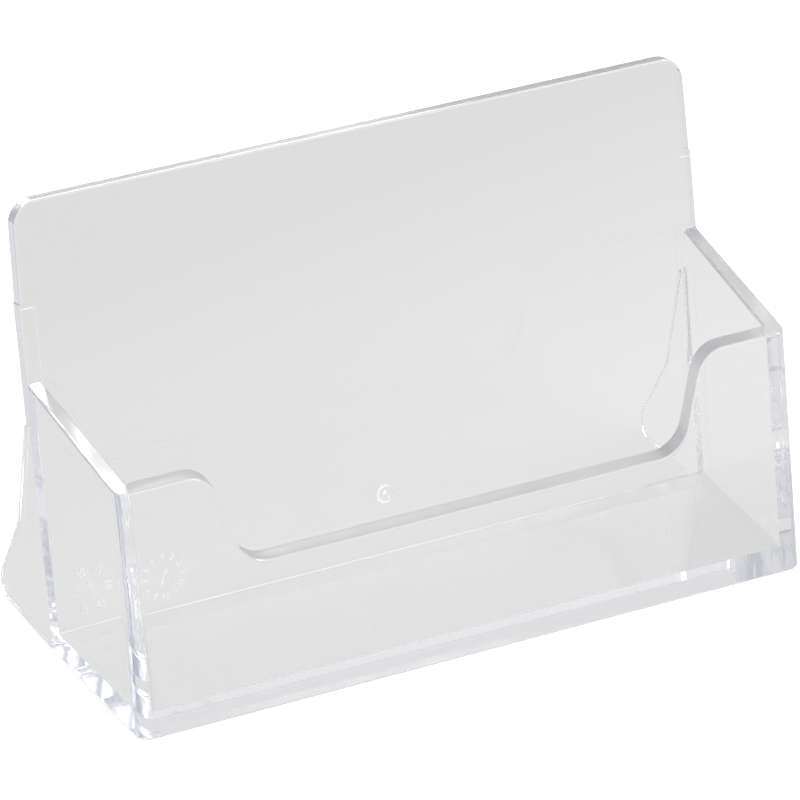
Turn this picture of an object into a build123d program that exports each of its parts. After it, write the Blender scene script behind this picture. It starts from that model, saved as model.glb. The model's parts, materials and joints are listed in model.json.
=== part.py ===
from build123d import *
import os
from math import asin, atan2, cos, hypot, radians, sin, tan

# Clear moulded holder for business cards: a pocket that leans back and stands on two rear legs.
# Millimetres and degrees. +X to the right, +Y to the rear, +Z up. The origin is on the ground,
# under the middle of the whole holder. The holder is one moulding, and its walls meet face to face.

# Whole holder
lean_angle = 10.3              # the panel, the pocket and the front wall lean back together
base_depth = 27.1              # along the ground, from the front face to the panel's rear face
foot_reach = 16.0              # along the ground, from the panel's rear face to the end of the feet
edge_easing = 0.4              # rounding of the free edges
overrun = 5.0                  # how far a shape runs past the face that trims it

# Back panel
panel_width = 98.6
panel_top_width = 97.6
panel_height = 60.5            # up to its highest edge
panel_thickness = 2.3
panel_corner_radius = 3.3
parting_height = 46.7          # the mould's parting line crosses the panel's side edges here
parting_step = 0.15            # each side edge steps in by this much above the parting line

# Side walls
side_front_width = 97.4        # over both walls at the front face, narrower by the mould's draft
side_rear_height = 36.8        # top edge where it meets the panel
side_rear_thickness = 2.0
side_front_thickness = 2.5
front_corner_radius = 1.8

# Front wall
front_height = 32.9            # top edge on the front face
front_thickness = 2.3
scoop_height = 19.8            # lowest line of the scoop on the front face
scoop_top_width = 71.4         # between the slanted ends, extended up to the top edge
scoop_end_angle = 16.0         # the ends slant outwards from upright by this much
scoop_floor_radius = 4.7
scoop_shoulder_radius = 4.5

# Floor
floor_thickness = 2.8

# Rear legs
leg_height = 30.2              # top of the leg, on the panel's rear face
leg_root_thickness = 2.1
leg_end_thickness = 1.7
leg_inset = 0.1                # outer face of the leg, in from the panel's side edge
leg_toe_in = 0.15              # over the leg's reach
leg_shoulder_depth = 0.9       # the top is rounded over to the rear edge within this depth
leg_waist_height = 14.3        # where the rear edge turns outwards to the foot
leg_waist_depth = 6.8          # rear edge behind the panel's rear face at that height
leg_waist_radius = 8.0
foot_radius = 2.5

# Places that follow from the sizes
lean_tan = tan(radians(lean_angle))
lean_cos = cos(radians(lean_angle))
lean_sin = sin(radians(lean_angle))
overall_depth = base_depth + foot_reach
front_line = -overall_depth / 2            # front face on the ground
rear_line = front_line + base_depth        # panel's rear face on the ground
pocket_depth = base_depth * lean_cos       # front face to the panel's rear face, square to the panel
pocket_back = -panel_thickness             # panel's front face in the leaning frame
pocket_front = -pocket_depth               # front wall's front face in the leaning frame

# Leaning frame: X across, Y to the rear and square to the panel, Z up along the panel's rear face
leaning = Plane(origin=(0, rear_line, 0), x_dir=(1, 0, 0), z_dir=(0, lean_sin, lean_cos))
leaning_front = Plane(origin=leaning.origin, x_dir=leaning.x_dir, z_dir=-leaning.y_dir)
leaning_side = Plane(origin=leaning.origin, x_dir=leaning.y_dir, z_dir=leaning.x_dir)
to_rear = Axis(leaning.origin, leaning.y_dir)


def up_lean(height, depth):
    """How far up the leaning frame a point lies that is this high and this deep in that frame."""
    return (height + depth * lean_sin) / lean_cos


def up_of(edge):
    """How far up the leaning frame the middle of an edge lies."""
    return leaning.to_local_coords(edge.center()).Z


def outline_edges(wall):
    """The edges round the front and the rear face of a leaning wall."""
    faces = wall.faces().sort_by(to_rear)
    return faces[0].edges() + faces[-1].edges()


def above_ground(part):
    """What stands above the ground of a wall that was drawn running below it."""
    size = 2 * (panel_width + panel_height + overall_depth)
    return part - Pos(0, 0, -size / 2) * Box(size, size, size)


def pocket_space():
    """The space between the planes of the two side walls' inner faces."""
    back_half = panel_width / 2 - side_rear_thickness
    front_half = side_front_width / 2 - side_front_thickness
    widening = (back_half - front_half) / (pocket_back - pocket_front)
    past_back = (back_half + widening * overrun, pocket_back + overrun)
    past_front = (front_half - widening * overrun, pocket_front - overrun)
    corners = [past_front, past_back, (-past_back[0], past_back[1]), (-past_front[0], past_front[1])]
    plan = make_face(Polyline(*corners, close=True))
    return extrude(leaning * plan, panel_height, both=True)


def back_panel():
    half = panel_width / 2
    top = up_lean(panel_height, pocket_back)
    parting = up_lean(parting_height, 0)
    right_side = [(half, -overrun), (half, parting), (half - parting_step, parting),
                  (panel_top_width / 2, top)]
    left_side = [(-across, up) for across, up in reversed(right_side)]
    corner_radii = [0, 0, 0, panel_corner_radius]
    outline = FilletPolyline(*right_side, *left_side, radius=corner_radii + corner_radii[::-1], close=True)
    panel = extrude(leaning_front * make_face(outline), panel_thickness)
    free_edges = [edge for edge in outline_edges(panel) if up_of(edge) > parting + parting_step]
    return above_ground(fillet(free_edges, edge_easing))


def along_top():
    """Direction of the side walls' top edges, which climb to the rear."""
    run = pocket_back - pocket_front
    rise = up_lean(side_rear_height, pocket_back) - up_lean(front_height, pocket_front)
    return (leaning.y_dir * run + leaning.z_dir * rise).normalized()


def front_wall():
    top = up_lean(front_height, pocket_front)
    scoop_floor = up_lean(scoop_height, pocket_front)
    foot = up_lean(0, pocket_front) - overrun
    end = panel_width / 2
    top_half = scoop_top_width / 2
    floor_half = top_half - (top - scoop_floor) * tan(radians(scoop_end_angle))
    right_side = [(floor_half, scoop_floor), (top_half, top), (end, top), (end, foot)]
    left_side = [(-across, up) for across, up in reversed(right_side)]
    corner_radii = [scoop_floor_radius, scoop_shoulder_radius, 0, 0]
    outline = FilletPolyline(*right_side, *left_side, radius=corner_radii + corner_radii[::-1], close=True)
    face = leaning_front.offset(pocket_depth) * make_face(outline)
    wall = extrude(face, front_thickness / along_top().dot(leaning.y_dir), dir=along_top())
    free_edges = [edge for edge in outline_edges(wall)
                  if abs(edge.center().X) < end and up_of(edge) > scoop_floor - edge_easing]
    return above_ground(fillet(free_edges, edge_easing) & pocket_space())


def side_wall():
    """The right side wall. The left one is its mirror image."""
    outer = FilletPolyline((panel_width / 2, pocket_back), (side_front_width / 2, pocket_front),
                           (0, pocket_front), radius=[front_corner_radius])
    plan = make_face(outer + Polyline((0, pocket_front), (0, pocket_back), (panel_width / 2, pocket_back)))
    foot = up_lean(0, pocket_front) - overrun
    profile = Polyline((pocket_front, foot), (pocket_back, foot),
                       (pocket_back, up_lean(side_rear_height, pocket_back)),
                       (pocket_front, up_lean(front_height, pocket_front)), close=True)
    upright = extrude(leaning * plan, panel_height, both=True)
    sloped = extrude(leaning_side * make_face(profile), panel_width)
    block = upright & sloped
    top_edges = block.faces().sort_by(Axis.Z)[-1].edges()
    free_edges = [edge for edge in top_edges if edge.center().X > edge_easing
                  and leaning.to_local_coords(edge.center()).Y < pocket_back - edge_easing]
    return above_ground(fillet(free_edges, edge_easing) - pocket_space())


def floor_plate():
    depth = pocket_depth - panel_thickness - front_thickness
    middle = pocket_back - depth / 2
    between = leaning * Pos(0, middle, 0) * Box(panel_width, depth, panel_height)
    slab = Pos(0, 0, floor_thickness / 2) * Box(panel_width, 2 * overall_depth, floor_thickness)
    return slab & between & pocket_space()


def rear_leg():
    """The right rear leg. The left one is its mirror image."""
    shoulder_line = rear_line + leg_height * lean_tan
    waist_line = rear_line + leg_waist_height * lean_tan + leg_waist_depth
    # The rear edge runs from the waist as a tangent to the foot's rounded end
    run = rear_line + foot_reach - foot_radius - waist_line
    drop = leg_waist_height - foot_radius
    foot_slant = atan2(drop, run) - asin(foot_radius / hypot(run, drop))
    foot_corner = waist_line + leg_waist_height / tan(foot_slant)
    rear_edge = FilletPolyline((rear_line, 0), (foot_corner, 0), (waist_line, leg_waist_height),
                               (shoulder_line + leg_shoulder_depth, leg_height), (shoulder_line, leg_height),
                               radius=[foot_radius, leg_waist_radius, leg_shoulder_depth])
    profile = make_face(rear_edge + Line((shoulder_line, leg_height), (rear_line, 0)))
    root = panel_width / 2 - leg_inset
    end = root - leg_toe_in
    plan = make_face(Polyline((root, rear_line), (end, foot_corner), (end - leg_end_thickness, foot_corner),
                              (root - leg_root_thickness, rear_line), close=True))
    return extrude(Plane.YZ * profile, panel_width) & extrude(plan, panel_height)


def left_of(part):
    return mirror(part, about=Plane.YZ)


nodes = {
    "back_panel": back_panel(),
    "floor_plate": floor_plate(),
    "front_wall": front_wall(),
    "left_side_wall": left_of(side_wall()),
    "right_side_wall": side_wall(),
    "left_rear_leg": left_of(rear_leg()),
    "right_rear_leg": rear_leg(),
}

os.makedirs("parts", exist_ok=True)
for name, part in nodes.items():
    export_step(part, f"parts/{name}.step")
    print(name, [round(length, 2) for length in part.bounding_box().size], round(part.volume, 1))
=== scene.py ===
import json
import math
import bmesh
import bpy
from mathutils import Matrix, Vector

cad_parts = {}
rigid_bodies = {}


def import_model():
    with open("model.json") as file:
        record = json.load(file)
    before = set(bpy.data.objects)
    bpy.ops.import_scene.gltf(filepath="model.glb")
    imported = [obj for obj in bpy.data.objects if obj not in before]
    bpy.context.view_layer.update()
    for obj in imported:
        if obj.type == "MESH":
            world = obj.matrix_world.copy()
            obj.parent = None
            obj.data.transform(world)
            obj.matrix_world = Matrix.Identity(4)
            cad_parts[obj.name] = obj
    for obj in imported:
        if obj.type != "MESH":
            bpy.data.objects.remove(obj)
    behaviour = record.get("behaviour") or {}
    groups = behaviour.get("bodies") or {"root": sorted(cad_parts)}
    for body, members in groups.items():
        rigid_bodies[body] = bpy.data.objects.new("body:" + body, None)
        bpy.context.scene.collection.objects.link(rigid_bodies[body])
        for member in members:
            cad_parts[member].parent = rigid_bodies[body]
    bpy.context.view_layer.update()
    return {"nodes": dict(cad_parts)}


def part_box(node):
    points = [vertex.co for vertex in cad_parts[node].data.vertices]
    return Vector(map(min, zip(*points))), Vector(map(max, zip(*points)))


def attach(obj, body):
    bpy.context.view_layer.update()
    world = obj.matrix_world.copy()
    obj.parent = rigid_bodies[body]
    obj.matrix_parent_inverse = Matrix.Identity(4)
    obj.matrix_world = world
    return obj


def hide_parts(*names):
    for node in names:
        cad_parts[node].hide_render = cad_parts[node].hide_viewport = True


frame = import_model()
mm = 0.001  # shapes are drawn in millimetres and written to meshes in metres
print("frame loaded:", len(frame["nodes"]), "solids")

# What the solids fix: the same lines and heights, read from their boxes
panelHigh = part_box("back_panel")[1] / mm
legLow, legHigh = [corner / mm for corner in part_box("right_rear_leg")]
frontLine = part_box("front_wall")[0].y / mm
rearLine = legLow.y
halfWidth = panelHigh.x
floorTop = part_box("floor_plate")[1].z / mm
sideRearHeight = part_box("right_side_wall")[1].z / mm

leanAngle = math.radians(10.3)
pocketDepth = (rearLine - frontLine) * math.cos(leanAngle)  # square to the panel, over both faces
toWorld = Matrix.Translation((0, rearLine, 0)) @ Matrix.Rotation(-leanAngle, 4, "X")
toLean = toWorld.inverted()  # leaning frame: across, rearward square to the panel, up along its rear face
overrun = 6.0  # how far a shape runs past what trims it

# How finely shapes are drawn
arcStep = math.radians(6)  # longest step along a rounded outline
roundSteps = 3  # faces across a rounded edge
sharpAngle = math.radians(50)  # an edge that turns by more is a corner
flatAngle = math.radians(0.1)  # faces that turn by less are one face
touching = 0.001  # points closer than this are one point


def upLean(height, depth):  # how far up the leaning frame a point of this height lies
    return (height + depth * math.sin(leanAngle)) / math.cos(leanAngle)


def roundedOutline(corners, radii):  # closed outline whose corners are arcs of these radii
    outline = []
    for i, (corner, radius) in enumerate(zip(corners, radii)):
        here = Vector(corner)
        if radius == 0:
            outline.append(here)
            continue
        toLast = (Vector(corners[i - 1]) - here).normalized()
        toNext = (Vector(corners[(i + 1) % len(corners)]) - here).normalized()
        half = toLast.angle(toNext) / 2
        centre = here + (toLast + toNext).normalized() * radius / math.sin(half)
        first = here + toLast * radius / math.tan(half) - centre
        last = here + toNext * radius / math.tan(half) - centre
        turn = math.pi - 2 * half
        steps = max(2, math.ceil(turn / arcStep))
        for k in range(steps + 1):
            part = turn * k / steps
            outline.append(centre + (first * math.sin(turn - part) + last * math.sin(part)) / math.sin(turn))
    return outline


def mirroredOutline(rightHalf, radii):  # closed outline of a right half and its mirror image
    leftHalf = [(-across, other) for across, other in reversed(rightHalf)]
    return roundedOutline(rightHalf + leftHalf, radii + radii[::-1])


def objectFrom(name, shape):
    mesh = bpy.data.meshes.new(name)
    shape.to_mesh(mesh)
    shape.free()
    made = bpy.data.objects.new(name, mesh)
    bpy.context.scene.collection.objects.link(made)
    return made


def turnOut(shape):  # all faces point outwards
    bmesh.ops.recalc_face_normals(shape, faces=shape.faces)


def solidBetween(name, nearRing, farRing):  # closed solid between two outlines of the same number of points
    shape = bmesh.new()
    near = [shape.verts.new(point) for point in nearRing]
    far = [shape.verts.new(point) for point in farRing]
    shape.faces.new(near)
    shape.faces.new(reversed(far))
    for i in range(len(near)):
        shape.faces.new([near[i - 1], near[i], far[i], far[i - 1]])
    turnOut(shape)
    return objectFrom(name, shape)


def edit(piece, change, *values):  # runs a change on the piece's mesh
    shape = bmesh.new()
    shape.from_mesh(piece.data)
    change(shape, *values)
    shape.to_mesh(piece.data)
    shape.free()


def plainMesh(made):  # the mesh that an object's modifiers or letters come to
    graph = bpy.context.evaluated_depsgraph_get()
    return bpy.data.meshes.new_from_object(made.evaluated_get(graph))


def applyModifiers(piece):
    mesh = plainMesh(piece)
    piece.modifiers.clear()
    piece.data = mesh


def sharp(edge):
    return len(edge.link_faces) == 2 and edge.calc_face_angle() > sharpAngle


def easeEdges(piece, width, share):  # rounds each edge by its share of the width
    def weigh(shape):
        weights = shape.edges.layers.float.new("bevel_weight_edge")
        for edge in shape.edges:
            edge[weights] = share(edge)

    edit(piece, weigh)
    modifier = piece.modifiers.new("ease", "BEVEL")
    modifier.limit_method = "WEIGHT"
    modifier.width = width
    modifier.segments = roundSteps
    applyModifiers(piece)


def keepBelow(shape, point, normal, capSlot=0):  # cuts off what lies past a plane and closes the cut
    geometry = shape.verts[:] + shape.edges[:] + shape.faces[:]
    cut = bmesh.ops.bisect_plane(shape, geom=geometry, plane_co=point, plane_no=normal, clear_outer=True)
    rim = [item for item in cut["geom_cut"] if isinstance(item, bmesh.types.BMEdge)]
    if rim:
        for cap in bmesh.ops.holes_fill(shape, edges=rim, sides=0)["faces"]:
            cap.material_index = capSlot
    turnOut(shape)


def joinFlat(shape):  # merges what a cut leaves doubled and joins faces in one plane
    bmesh.ops.remove_doubles(shape, verts=shape.verts, dist=touching)
    bmesh.ops.dissolve_limit(shape, angle_limit=flatAngle, verts=shape.verts, edges=shape.edges)


def combine(base, tool, operation):  # union or difference of two closed solids
    modifier = base.modifiers.new("combine", "BOOLEAN")
    modifier.operation = operation
    modifier.solver = "EXACT"
    modifier.object = tool
    applyModifiers(base)
    bpy.data.objects.remove(tool)
    edit(base, joinFlat)


panel = {"height": 60.5, "topWidth": 97.9, "thickness": 2.3, "cornerRadius": 3.3,
         "partingHeight": 46.7, "partingStep": 0.15, "partingRise": 0.12}
pocketBack = -panel["thickness"]
pocketFront = -pocketDepth
panelTop = upLean(panel["height"], pocketBack)
parting = upLean(panel["partingHeight"], 0)


def backPanel():
    rightHalf = [(halfWidth, -overrun), (halfWidth, parting), (panel["topWidth"] / 2, panelTop)]
    outline = mirroredOutline(rightHalf, [0, 0, panel["cornerRadius"]])
    return solidBetween("panel", [(across, pocketBack, up) for across, up in outline],
                        [(across, 0, up) for across, up in outline])


pocket = {"frontWidth": 97.4, "cornerRadius": 1.8, "frontHeight": 32.9, "sideRearWall": 2.0,
          "sideFrontWall": 2.5, "frontWall": 2.3, "easing": 0.38, "rearShare": 0.3}
innerFront = pocketFront + pocket["frontWall"]
topFront = Vector((0, pocketFront, upLean(pocket["frontHeight"], pocketFront)))
topRear = Vector((0, pocketBack, upLean(sideRearHeight, pocketBack)))
alongTop = (topRear - topFront).normalized()  # the side walls' top edges climb to the rear this way
topNormal = Vector((1, 0, 0)).cross(alongTop)


def pocketBlock():
    frontHalf = pocket["frontWidth"] / 2
    rightHalf = [(halfWidth, pocketBack / 2), (halfWidth, pocketBack), (frontHalf, pocketFront)]
    outline = mirroredOutline(rightHalf, [0, 0, pocket["cornerRadius"]])
    made = solidBetween("pocket", [(across, depth, -2 * overrun) for across, depth in outline],
                        [(across, depth, panelTop) for across, depth in outline])
    edit(made, keepBelow, topFront, topNormal)
    return made


def innerHalf(depth):  # half the clear width between the side walls at this depth
    back = halfWidth - pocket["sideRearWall"]
    front = pocket["frontWidth"] / 2 - pocket["sideFrontWall"]
    return front + (back - front) * (depth - pocketFront) / (pocketBack - pocketFront)


def pocketSpace():
    plan = [(side * innerHalf(depth), depth) for side, depth in
            ((1, innerFront), (1, overrun), (-1, overrun), (-1, innerFront))]
    return solidBetween("space", [(across, depth, upLean(floorTop, depth)) for across, depth in plan],
                        [(across, depth, panelTop) for across, depth in plan])


scoop = {"height": 19.8, "topWidth": 71.4, "endAngle": math.radians(16.0), "floorRadius": 4.7,
         "shoulderRadius": 4.5}


def scoopSpace():
    floor = upLean(scoop["height"], pocketFront)
    topHalf = scoop["topWidth"] / 2
    floorHalf = topHalf - (topFront.z - floor) * math.tan(scoop["endAngle"])
    shoulder = topHalf + scoop["shoulderRadius"] * math.tan((math.pi / 2 - scoop["endAngle"]) / 2)
    rightHalf = [(shoulder, topFront.z + overrun), (shoulder, topFront.z), (topHalf, topFront.z),
                 (floorHalf, floor)]
    outline = mirroredOutline(rightHalf, [0, 0, scoop["shoulderRadius"], scoop["floorRadius"]])
    outline = [point for i, point in enumerate(outline) if (point - outline[i - 1]).length > touching]
    rings = [[Vector((across, pocketFront, up)) + alongTop * reach for across, up in outline]
             for reach in (-overrun, overrun)]
    return solidBetween("scoop", *rings)


leg = {"rootThickness": 2.1, "endThickness": 1.7, "toeIn": 0.25, "shoulderDepth": 0.9, "waistHeight": 14.3,
       "waistDepth": 6.8, "waistRadius": 8.0, "footRadius": 2.5, "easing": 0.3}


def rimShare(edge):  # a leg is rounded along its outline, on both faces
    across = edge.verts[0].co.x - edge.verts[1].co.x
    return 1 if sharp(edge) and abs(across) < leg["endThickness"] / 2 else 0


def rearLeg(side):
    slope = math.tan(leanAngle)
    shoulder = rearLine + legHigh.z * slope
    waist = rearLine + leg["waistHeight"] * slope + leg["waistDepth"]
    run = legHigh.y - leg["footRadius"] - waist
    drop = leg["waistHeight"] - leg["footRadius"]
    slant = math.atan2(drop, run) - math.asin(leg["footRadius"] / math.hypot(run, drop))
    footCorner = waist + leg["waistHeight"] / math.tan(slant)
    seat = rearLine + pocketBack / 2  # inside the panel
    corners = [(seat, 0), (footCorner, 0), (waist, leg["waistHeight"]),
               (shoulder + leg["shoulderDepth"], legHigh.z), (seat + legHigh.z * slope, legHigh.z)]
    outline = roundedOutline(corners, [0, leg["footRadius"], leg["waistRadius"], leg["shoulderDepth"], 0])

    def rim(root, end):
        ring = []
        for y, z in outline:
            reach = (y - rearLine) / (footCorner - rearLine)
            ring.append(toLean @ Vector((side * (root + (end - root) * max(0, reach)), y, z)))
        return ring

    end = halfWidth - leg["toeIn"]
    outer = rim(halfWidth, end)
    inner = rim(halfWidth - leg["rootThickness"], end - leg["endThickness"])
    made = solidBetween("leg", outer, inner)
    easeEdges(made, leg["easing"], rimShare)
    return made


def stepSides(shape):  # the panel's side edges step in above the mould's parting line
    low, high = parting + panel["partingRise"], parting + 2 * panel["partingRise"]
    for up in (low, high):
        geometry = shape.verts[:] + shape.edges[:] + shape.faces[:]
        bmesh.ops.bisect_plane(shape, geom=geometry, plane_co=(0, 0, up), plane_no=(0, 0, 1))
    for vert in shape.verts:
        if vert.co.z > (low + high) / 2:
            vert.co.x -= math.copysign(panel["partingStep"], vert.co.x)


def cornerShare(edge):  # the floor's inner corners are sharp, and at the panel a little rounded
    if not sharp(edge):
        return 0
    along = edge.verts[0].co - edge.verts[1].co
    if edge.is_convex or abs(along.z) > abs(along.x) + abs(along.y):
        return 1
    atPanel = all(abs(vert.co.y - pocketBack) < pocket["easing"] for vert in edge.verts)
    return pocket["rearShare"] if atPanel else 0


def mouldedHolder():
    made = pocketBlock()
    combine(made, pocketSpace(), "DIFFERENCE")
    combine(made, scoopSpace(), "DIFFERENCE")
    combine(made, backPanel(), "UNION")
    edit(made, keepBelow, toLean @ Vector((0, 0, 0)), toLean.to_3x3() @ Vector((0, 0, -1)))
    edit(made, joinFlat)
    easeEdges(made, pocket["easing"], cornerShare)
    for side in (-1, 1):
        combine(made, rearLeg(side), "UNION")
    edit(made, stepSides)
    return made


body = mouldedHolder()
print("moulding:", len(body.data.polygons), "faces")

seam = 0.6  # a seam between two walls lies this far out of the corner, past its rounding
sideSlope = (innerHalf(pocketBack) - innerHalf(pocketFront)) / (pocketBack - pocketFront)
panelFront, panelRear, frontInner = pocketBack - seam, seam, innerFront + seam


def rearOf(depth):  # keeps what lies behind
    return Vector((0, depth, 0)), Vector((0, -1, 0))


def frontOf(depth):  # keeps what lies in front
    return Vector((0, depth, 0)), Vector((0, 1, 0))


def within(side):  # keeps what lies on the pocket's side of a side wall
    return Vector((side * (innerHalf(0) - seam), 0, 0)), Vector((side, -sideSlope, 0))


def outside(side):  # keeps a side wall
    point, normal = within(side)
    return point, -normal


def past(side):  # keeps one half of the holder
    return Vector((0, 0, 0)), Vector((-side, 0, 0))


wallCuts = {
    "back_panel": [rearOf(panelFront), frontOf(panelRear)],
    "floor_plate": [frontOf(panelFront), rearOf(frontInner), within(-1), within(1)],
    "front_wall": [frontOf(frontInner), within(-1), within(1)],
    "left_side_wall": [frontOf(panelFront), outside(-1)],
    "right_side_wall": [frontOf(panelFront), outside(1)],
    "left_rear_leg": [rearOf(panelRear), past(-1)],
    "right_rear_leg": [rearOf(panelRear), past(1)],
}

plastic = {"refraction": 1.59, "blueLoss": (0.75, 0.6, 0.15)}  # red, green and blue lost per metre
# the tones of the upper rims and tops are painted shade, darker and warmer than the clear walls
finishes = {
    "clearPlastic": {"roughness": (0.0, 0.04), "tone": (1, 1, 1), "grain": 120.0, "relief": 0.006},
    "satinRimPaintedShade": {"roughness": (0.3, 0.4), "tone": (0.93, 0.915, 0.89), "grain": 900.0, "relief": 0.002},
    "satinTopPaintedShade": {"roughness": (0.25, 0.35), "tone": (0.83, 0.825, 0.82), "grain": 900.0, "relief": 0.002},
    "satinLeg": {"roughness": (0.08, 0.16), "tone": (1, 1, 1), "grain": 900.0, "relief": 0.002},
}


def newMaterial(name):
    material = bpy.data.materials.new(name)
    material.use_nodes = True
    tree = material.node_tree
    tree.nodes.clear()
    return material, tree, tree.nodes.new("ShaderNodeOutputMaterial")


def addNode(tree, kind, sockets=None, **settings):  # each named or numbered socket takes a link or a value
    made = tree.nodes.new(kind)
    for name, value in settings.items():
        setattr(made, name, value)
    for name, value in (sockets or {}).items():
        if isinstance(value, bpy.types.NodeSocket):
            tree.links.new(value, made.inputs[name])
        else:
            made.inputs[name].default_value = value
    return made


def grainOn(tree, shader, values):  # slight waves or a fine grain, in the bump and in the roughness
    place = addNode(tree, "ShaderNodeTexCoord")
    grain = addNode(tree, "ShaderNodeTexNoise",
                    {"Vector": place.outputs["Object"], "Scale": values["grain"], "Detail": 1})
    height = grain.outputs["Fac"]
    bump = addNode(tree, "ShaderNodeBump", {"Distance": values["relief"] * mm, "Height": height})
    low, high = values["roughness"]
    sheen = addNode(tree, "ShaderNodeMapRange", {"Value": height, "To Min": low, "To Max": high})
    tree.links.new(bump.outputs[0], shader.inputs["Normal"])
    tree.links.new(sheen.outputs["Result"], shader.inputs["Roughness"])


def clearPlastic(name):
    values = finishes[name]
    material, tree, output = newMaterial(name)
    path = addNode(tree, "ShaderNodeLightPath")
    face = addNode(tree, "ShaderNodeNewGeometry")
    length = addNode(tree, "ShaderNodeMath", {0: path.outputs["Ray Length"], 1: face.outputs["Backfacing"]},
                     operation="MULTIPLY")  # length of the way inside the plastic
    kept = addNode(tree, "ShaderNodeCombineColor")
    for channel, loss, share in zip(("Red", "Green", "Blue"), plastic["blueLoss"], values["tone"]):
        passed = addNode(tree, "ShaderNodeMath", {0: math.exp(-loss), 1: length.outputs[0]},
                         operation="POWER")
        # a tone below white darkens the glass: painted shade on the upper rims and tops
        toned = addNode(tree, "ShaderNodeMath", {0: passed.outputs[0], 1: share}, operation="MULTIPLY")
        tree.links.new(toned.outputs[0], kept.inputs[channel])
    glass = addNode(tree, "ShaderNodeBsdfGlass", {"Color": kept.outputs[0], "IOR": plastic["refraction"]})
    grainOn(tree, glass, values)
    tree.links.new(glass.outputs[0], output.inputs["Surface"])
    return material


def seamFace():  # where two walls of the moulding run into each other there is nothing to see
    material, tree, output = newMaterial("seamFace")
    clear = addNode(tree, "ShaderNodeBsdfTransparent")
    tree.links.new(clear.outputs[0], output.inputs["Surface"])
    return material


wallMaterials = [clearPlastic("clearPlastic"), seamFace(), clearPlastic("satinRimPaintedShade"),
                 clearPlastic("satinTopPaintedShade"), clearPlastic("satinLeg")]
clearSlot, seamSlot, rimSlot, topSlot, legSlot = range(len(wallMaterials))
facing = {"up": 0.25, "rear": 0.7, "side": 0.95}  # how far a face turns each way, to tell edges from walls
flatWeight = 100  # the higher it is, the more the large faces count in the smoothed normals


def markCorners(shape):  # corners and the rims of the seams stay sharp
    for edge in shape.edges:
        onSeam = {face.material_index == seamSlot for face in edge.link_faces}
        edge.smooth = len(onSeam) == 1 and edge.calc_face_angle(0) < sharpAngle


def smoothNormals(piece):  # flat walls stay flat, and only their rounded edges are shaded round
    for polygon in piece.data.polygons:
        polygon.use_smooth = True
    edit(piece, markCorners)
    weighted = piece.modifiers.new("weighted", "WEIGHTED_NORMAL")
    weighted.keep_sharp = True
    weighted.weight = flatWeight
    applyModifiers(piece)


def finishOf(face):  # upper edges and the legs' edges are less polished than the walls' faces, and the upper rims and tops carry painted shade in their tone
    middle = face.calc_center_median()
    above = middle.z - upLean(floorTop, middle.y)
    if 0 < above < pocket["easing"] and abs(middle.y - pocketBack) < pocket["easing"]:
        return rimSlot  # the fine rounding between the floor and the panel
    if middle.y > seam:
        return legSlot if abs(face.normal.x) < facing["side"] else clearSlot
    upwards = face.normal.z >= facing["up"] and abs(face.normal.y) <= facing["rear"]
    if not upwards or above < pocket["sideRearWall"]:
        return clearSlot
    return rimSlot if middle.y < pocketBack else topSlot


def wallPiece(node):
    shape = bmesh.new()
    shape.from_mesh(body.data)
    for face in shape.faces:
        face.material_index = finishOf(face)
    for point, normal in wallCuts[node]:
        keepBelow(shape, point, normal, seamSlot)
    shape.transform(Matrix.Scale(mm, 4) @ toWorld)
    made = objectFrom(node + "_clear", shape)
    for material in wallMaterials:
        made.data.materials.append(material)
    smoothNormals(made)
    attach(made, "root")
    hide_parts(node)
    return made


walls = {node: wallPiece(node) for node in wallCuts}
bpy.data.objects.remove(body)
print("walls:", {node: len(wall.data.polygons) for node, wall in walls.items()})

# the raised marks of the mould are drawn white, a painted glint that stands in for light sparkling on the
# clear relief
mark = {"gap": 0.01, "height": 0.06, "tone": (0.95, 0.955, 0.96, 1), "roughness": (0.35, 0.55),
        "grain": 4000.0, "relief": 0.01, "circleSteps": 48, "letterSteps": 3, "sliver": 0.00001}
markLow, markHigh = mark["gap"], mark["gap"] + mark["height"]


def paintedGlintPlastic():
    material, tree, output = newMaterial("paintedGlintPlastic")
    glintWhite = addNode(tree, "ShaderNodeBsdfPrincipled", {"Base Color": mark["tone"]})
    grainOn(tree, glintWhite, mark)
    tree.links.new(glintWhite.outputs[0], output.inputs["Surface"])
    return material


paintedGlintMaterial = paintedGlintPlastic()


def circle(radius):
    turns = [math.tau * k / mark["circleSteps"] for k in range(mark["circleSteps"])]
    return [(radius * math.cos(turn), radius * math.sin(turn)) for turn in turns]


def addPrism(shape, outline):  # raised mark with this outline
    low = [shape.verts.new((across, up, markLow)) for across, up in outline]
    high = [shape.verts.new((across, up, markHigh)) for across, up in outline]
    shape.faces.new(reversed(low))
    shape.faces.new(high)
    for i in range(len(low)):
        shape.faces.new([low[i - 1], low[i], high[i], high[i - 1]])


def addRing(shape, inner, outer, shift):  # raised ring whose inner circle is shifted to one side
    rims = [[shape.verts.new((across + move, up, level)) for across, up in circle(radius)]
            for radius, level, move in ((outer, markLow, 0), (outer, markHigh, 0),
                                        (inner, markHigh, shift), (inner, markLow, shift))]
    for k in range(len(rims)):
        for i in range(len(rims[k])):
            shape.faces.new([rims[k - 1][i - 1], rims[k - 1][i], rims[k][i], rims[k][i - 1]])


def finishMark(made, across, height):  # sets a mark, drawn flat, on the front of the panel
    up = upLean(height, pocketBack)
    seat = Matrix(((1, 0, 0, across), (0, 0, -1, pocketBack), (0, 1, 0, up), (0, 0, 0, 1)))
    edit(made, turnOut)
    made.data.transform(Matrix.Scale(mm, 4) @ toWorld @ seat)
    made.data.materials.clear()
    made.data.materials.append(paintedGlintMaterial)
    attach(made, "root")


gate = {"place": (-0.3, 10.5), "outer": 1.3, "inner": 1.05, "shift": 0.23, "nub": 0.34,
        "nubPlace": (-0.05, 0.2), "drop": 0.17, "dropPlace": (0.5, -0.5)}


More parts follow.
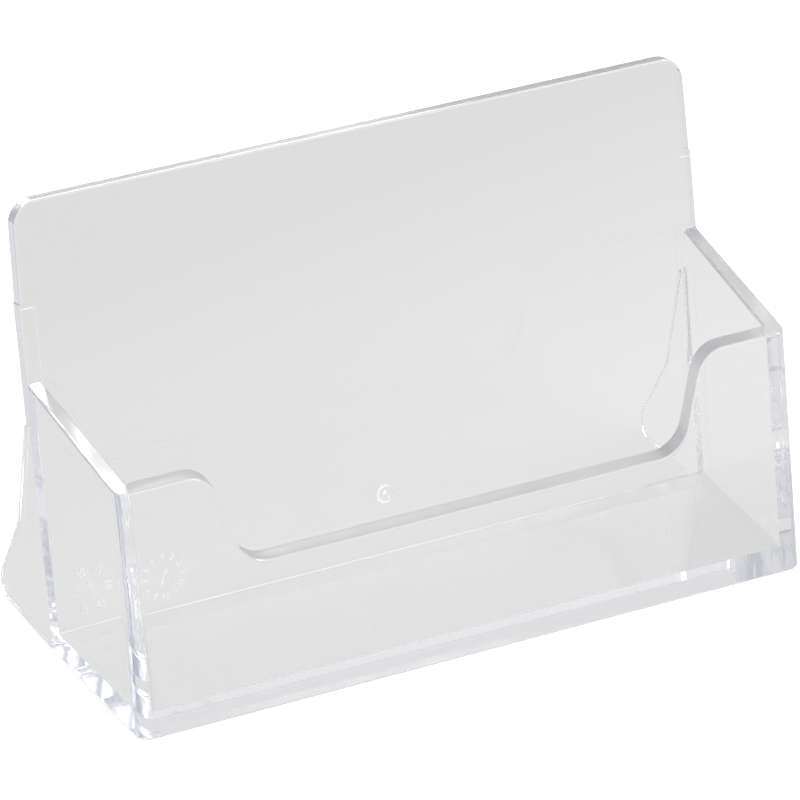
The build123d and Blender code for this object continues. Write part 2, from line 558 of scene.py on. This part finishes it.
def gateMark():  # where the plastic was fed into the mould
    shape = bmesh.new()
    addRing(shape, gate["inner"], gate["outer"], gate["shift"])
    for dot in ("nub", "drop"):
        addPrism(shape, [Vector(point) + Vector(gate[dot + "Place"]) for point in circle(gate[dot])])
    finishMark(objectFrom("gate_mark", shape), *gate["place"])


dial = {"numberRadius": 2.75, "arrowLength": 2.6, "arrowWidth": 0.4, "headLength": 0.65, "headWidth": 0.8}
dials = {
    "year_dial": {"place": (-41.2, 7.6), "first": 10, "count": 6, "size": 1.6, "stroke": 0.07, "turn": 18},
    "month_dial": {"place": (-33.6, 7.3), "first": 1, "count": 12, "size": 1.2, "stroke": 0.04, "turn": -22},
}


def numberTree():  # numbers set round a circle, beside the marks that are there
    tree = bpy.data.node_groups.new("numberRing", "GeometryNodeTree")
    kinds = {"Marks": "Geometry", "Numbers": "Collection", "Count": "Int", "Radius": "Float"}
    sockets = {}
    for name, kind in kinds.items():
        made = tree.interface.new_socket(name, in_out="INPUT", socket_type="NodeSocket" + kind)
        sockets[name] = made.identifier
    tree.interface.new_socket("Marks", in_out="OUTPUT", socket_type="NodeSocketGeometry")
    given = addNode(tree, "NodeGroupInput")
    count = given.outputs["Count"]
    ring = addNode(tree, "GeometryNodeMeshCircle", {"Vertices": count, "Radius": given.outputs["Radius"]})
    numbers = addNode(tree, "GeometryNodeCollectionInfo", {
        "Collection": given.outputs["Numbers"], "Separate Children": True, "Reset Children": True})
    index = addNode(tree, "GeometryNodeInputIndex")
    step = addNode(tree, "ShaderNodeMath", {0: math.tau, 1: count}, operation="DIVIDE")
    angle = addNode(tree, "ShaderNodeMath", {0: index.outputs[0], 1: step.outputs[0], 2: -math.pi / 2},
                    operation="MULTIPLY_ADD")
    turn = addNode(tree, "ShaderNodeCombineXYZ", {"Z": angle.outputs[0]})
    placed = addNode(tree, "GeometryNodeInstanceOnPoints", {
        "Points": ring.outputs["Mesh"], "Instance": numbers.outputs[0], "Pick Instance": True,
        "Instance Index": index.outputs[0], "Rotation": turn.outputs[0]})
    both = addNode(tree, "GeometryNodeJoinGeometry", {0: given.outputs["Marks"]})
    tree.links.new(placed.outputs[0], both.inputs[0])
    plain = addNode(tree, "GeometryNodeRealizeInstances", {0: both.outputs[0]})
    covered = addNode(tree, "GeometryNodeSetMaterial",
                      {"Geometry": plain.outputs[0], "Material": paintedGlintMaterial})
    addNode(tree, "NodeGroupOutput", {0: covered.outputs[0]})
    return tree, sockets


def numberMeshes(values):
    group = bpy.data.collections.new("numbers")
    for k in range(values["count"]):
        letters = bpy.data.curves.new("number", "FONT")
        letters.body = str(values["first"] + k)
        letters.size = values["size"]
        letters.extrude = mark["height"] / 2
        letters.resolution_u = mark["letterSteps"]
        letters.offset = values["stroke"]
        letters.align_x = letters.align_y = "CENTER"
        drawn = bpy.data.objects.new("number", letters)
        bpy.context.scene.collection.objects.link(drawn)
        bpy.context.view_layer.update()
        mesh = plainMesh(drawn)
        mesh.transform(Matrix.Translation((0, 0, markLow + mark["height"] / 2)))
        bpy.data.objects.remove(drawn)
        group.objects.link(bpy.data.objects.new(f"number{k:02d}", mesh))
    return group


def joinSlivers(shape):  # joins a face without any width to its neighbour
    slivers = [face for face in shape.faces if face.calc_area() < mark["sliver"]]
    longest = dict.fromkeys(max(face.edges, key=lambda edge: edge.calc_length()) for face in slivers)
    bmesh.ops.dissolve_edges(shape, edges=list(longest), use_verts=False)  # each once, in a fixed order


ringTree, ringSockets = numberTree()


def dateDial(name):
    values = dials[name]
    half, wide, tip = dial["arrowWidth"] / 2, dial["headWidth"] / 2, dial["arrowLength"] / 2
    neck = tip - dial["headLength"]
    arrow = [(-half, -tip), (half, -tip), (half, neck), (wide, neck), (0, tip), (-wide, neck), (-half, neck)]
    turn = Matrix.Rotation(math.radians(values["turn"]), 2)
    shape = bmesh.new()
    addPrism(shape, [turn @ Vector(point) for point in arrow])
    made = objectFrom(name, shape)
    numbers = numberMeshes(values)
    modifier = made.modifiers.new("numbers", "NODES")
    modifier.node_group = ringTree
    modifier[ringSockets["Numbers"]] = numbers
    modifier[ringSockets["Count"]] = values["count"]
    modifier[ringSockets["Radius"]] = dial["numberRadius"]
    applyModifiers(made)
    for number in list(numbers.objects):
        bpy.data.objects.remove(number)
    bpy.data.collections.remove(numbers)
    edit(made, joinFlat)
    edit(made, joinSlivers)
    finishMark(made, *values["place"])


witness = {"outer": 49.1, "inner": 47.3, "line": 0.03}
partings = {
    "left_parting_mark": {"side": -1, "tick": 0.07, "drop": True},
    "right_parting_mark": {"side": 1, "tick": 0.04, "drop": False},
}


def partingMark(name):  # fine line that the mould's parting leaves on the panel
    values = partings[name]
    shape = bmesh.new()
    inner, outer = values["side"] * witness["inner"], values["side"] * witness["outer"]
    half = values["tick"] / 2
    addPrism(shape, [(inner, -half), (outer, -half), (outer, half), (inner, half)])
    if values["drop"]:  # it runs down to the side wall
        fine, high = witness["line"] / 2, -2 * half
        low = topRear.z - upLean(panel["partingHeight"], pocketBack)
        left, right = inner - fine, inner + fine
        addPrism(shape, [(left, low), (right, low), (right, high), (left, high)])
    finishMark(objectFrom(name, shape), 0, panel["partingHeight"])


gateMark()
for name in dials:
    dateDial(name)
for name in partings:
    partingMark(name)
print("marks of the mould made")

# nearTone to farTone paints a falloff of the light on the ground seen through the plastic, and shade paints
# a shadow under the base
stage = {"floorGap": 0.05, "floorSize": 3000.0, "floorTone": 0.78, "cameraLift": 0.55, "glassShare": 0.9,
         "nearTone": 0.80, "farTone": 0.69, "nearLine": 25.0, "farLine": 100.0, "fadeWay": (-0.2, 1, 0),
         "shade": 0.92, "shadeCore": -5.0, "shadeRim": 12.0}


def floorPlane():
    shape = bmesh.new()
    bmesh.ops.create_grid(shape, x_segments=1, y_segments=1, size=stage["floorSize"] / 2 * mm)
    made = objectFrom("floor", shape)
    made.location.z = -stage["floorGap"] * mm
    material, tree, output = newMaterial("paleFloor")
    path = addNode(tree, "ShaderNodeLightPath")
    place = addNode(tree, "ShaderNodeTexCoord")
    pale = addNode(tree, "ShaderNodeBsdfDiffuse", {"Color": (stage["floorTone"],) * 3 + (1,)})
    whiter = addNode(tree, "ShaderNodeMath", {0: path.outputs["Is Camera Ray"], 1: stage["cameraLift"]},
                     operation="MULTIPLY")
    lift = addNode(tree, "ShaderNodeEmission", {"Strength": whiter.outputs[0]})
    direct = addNode(tree, "ShaderNodeAddShader", {0: pale.outputs[0], 1: lift.outputs[0]})
    way = addNode(tree, "ShaderNodeVectorMath", {0: place.outputs["Object"], 1: stage["fadeWay"]},
                  operation="DOT_PRODUCT")
    fade = addNode(tree, "ShaderNodeMapRange", {  # the ground seen through the plastic fades to the rear, a painted falloff of the light
        "Value": way.outputs["Value"], "From Min": stage["nearLine"] * mm, "From Max": stage["farLine"] * mm,
        "To Min": stage["nearTone"], "To Max": stage["farTone"]})
    along = addNode(tree, "ShaderNodeSeparateXYZ", {0: place.outputs["Object"]})
    shade = addNode(tree, "ShaderNodeMapRange", {  # and it is darker under the base, a painted shadow
        "Value": along.outputs["Y"], "From Min": stage["shadeCore"] * mm, "From Max": stage["shadeRim"] * mm,
        "To Min": stage["shade"]})
    tone = addNode(tree, "ShaderNodeMath", {0: fade.outputs["Result"], 1: shade.outputs["Result"]},
                   operation="MULTIPLY")
    ground = addNode(tree, "ShaderNodeEmission", {"Strength": tone.outputs[0]})
    throughGlass = addNode(tree, "ShaderNodeMath", {
        0: path.outputs["Is Glossy Ray"], 1: path.outputs["Is Transmission Ray"]}, operation="MAXIMUM")
    share = addNode(tree, "ShaderNodeMath", {0: throughGlass.outputs[0], 1: stage["glassShare"]},
                    operation="MULTIPLY")
    seen = addNode(tree, "ShaderNodeMixShader",
                   {0: share.outputs[0], 1: direct.outputs[0], 2: ground.outputs[0]})
    tree.links.new(seen.outputs[0], output.inputs["Surface"])
    made.data.materials.append(material)


light = {"rearTone": (0.54, 0.555, 0.59, 1), "frontTone": (0.88, 0.88, 0.89, 1),
         "glowWay": (0.64, -0.64, 0.42), "glowRim": -0.8, "glowCore": 0.8}


def studioWorld():  # a room that is brighter in front, to the right and above
    world = bpy.data.worlds.new("studio")
    bpy.context.scene.world = world
    world.use_nodes = True
    tree = world.node_tree
    place = addNode(tree, "ShaderNodeTexCoord")
    glowWay = Vector(light["glowWay"]).normalized()
    towards = addNode(tree, "ShaderNodeVectorMath", {0: place.outputs["Generated"], 1: glowWay},
                      operation="DOT_PRODUCT")
    glow = addNode(tree, "ShaderNodeMapRange", {
        "Value": towards.outputs["Value"], "From Min": light["glowRim"], "From Max": light["glowCore"]},
        interpolation_type="SMOOTHSTEP")
    tone = addNode(tree, "ShaderNodeMix", {
        "Factor": glow.outputs["Result"], "A": light["rearTone"], "B": light["frontTone"]}, data_type="RGBA")
    tree.links.new(tone.outputs["Result"], tree.nodes["Background"].inputs["Color"])


lamps = {
    "frontBox": {"place": (303.0, -525.0, 546.0), "size": (280.0, 280.0), "power": 0.6, "inGlass": True},
    "sideBox": {"place": (540.0, -250.0, 560.0), "size": (260.0, 260.0), "power": 2.0, "inGlass": True},
    "rearBox": {"place": (542.0, 67.0, 606.0), "size": (280.0, 280.0), "power": 0.8, "inGlass": True},
    "fillBox": {"place": (137.0, -376.0, 693.0), "size": (250.0, 250.0), "power": 2.0, "inGlass": False},
}


def softBox(name):  # points at the origin
    values = lamps[name]
    data = bpy.data.lights.new(name, "AREA")
    data.shape = "RECTANGLE"
    data.energy = values["power"]
    data.size, data.size_y = [length * mm for length in values["size"]]
    lamp = bpy.data.objects.new(name, data)
    bpy.context.scene.collection.objects.link(lamp)
    place = Vector(values["place"]) * mm
    lamp.matrix_world = Matrix.Translation(place) @ place.to_track_quat("Z", "Y").to_matrix().to_4x4()
    lamp.visible_camera = False
    lamp.visible_glossy = lamp.visible_transmission = values["inGlass"]


floorPlane()
studioWorld()
for name in lamps:
    softBox(name)
print("stage and light set")

view = {"lens": 269.26, "sensor": 36.0, "nearest": 0.05, "farthest": 20, "place": (-316.8, -610.4, 401.7),
        "yaw": 27.378, "pitch": 28.577, "roll": 0.13}


def photoCamera():
    data = bpy.data.cameras.new("photoCamera")
    data.lens = view["lens"]
    data.sensor_width = view["sensor"]
    data.sensor_fit = "HORIZONTAL"
    data.clip_start, data.clip_end = view["nearest"], view["farthest"]
    camera = bpy.data.objects.new("photoCamera", data)
    bpy.context.scene.collection.objects.link(camera)
    place = Matrix.Translation(Vector(view["place"]) * mm)
    yaw = Matrix.Rotation(math.radians(-view["yaw"]), 4, "Z")
    pitch = Matrix.Rotation(math.radians(90 - view["pitch"]), 4, "X")
    roll = Matrix.Rotation(math.radians(view["roll"]), 4, "Z")
    camera.matrix_world = place @ (yaw @ pitch) @ roll
    bpy.context.scene.camera = camera


photoCamera()
bounces = {"plastic": 200, "seams": 64}  # light turns many times inside the clear edges
cycles = bpy.context.scene.cycles
cycles.max_bounces = cycles.glossy_bounces = cycles.transmission_bounces = bounces["plastic"]
cycles.transparent_max_bounces = bounces["seams"]
bpy.context.scene.view_settings.view_transform = "Standard"
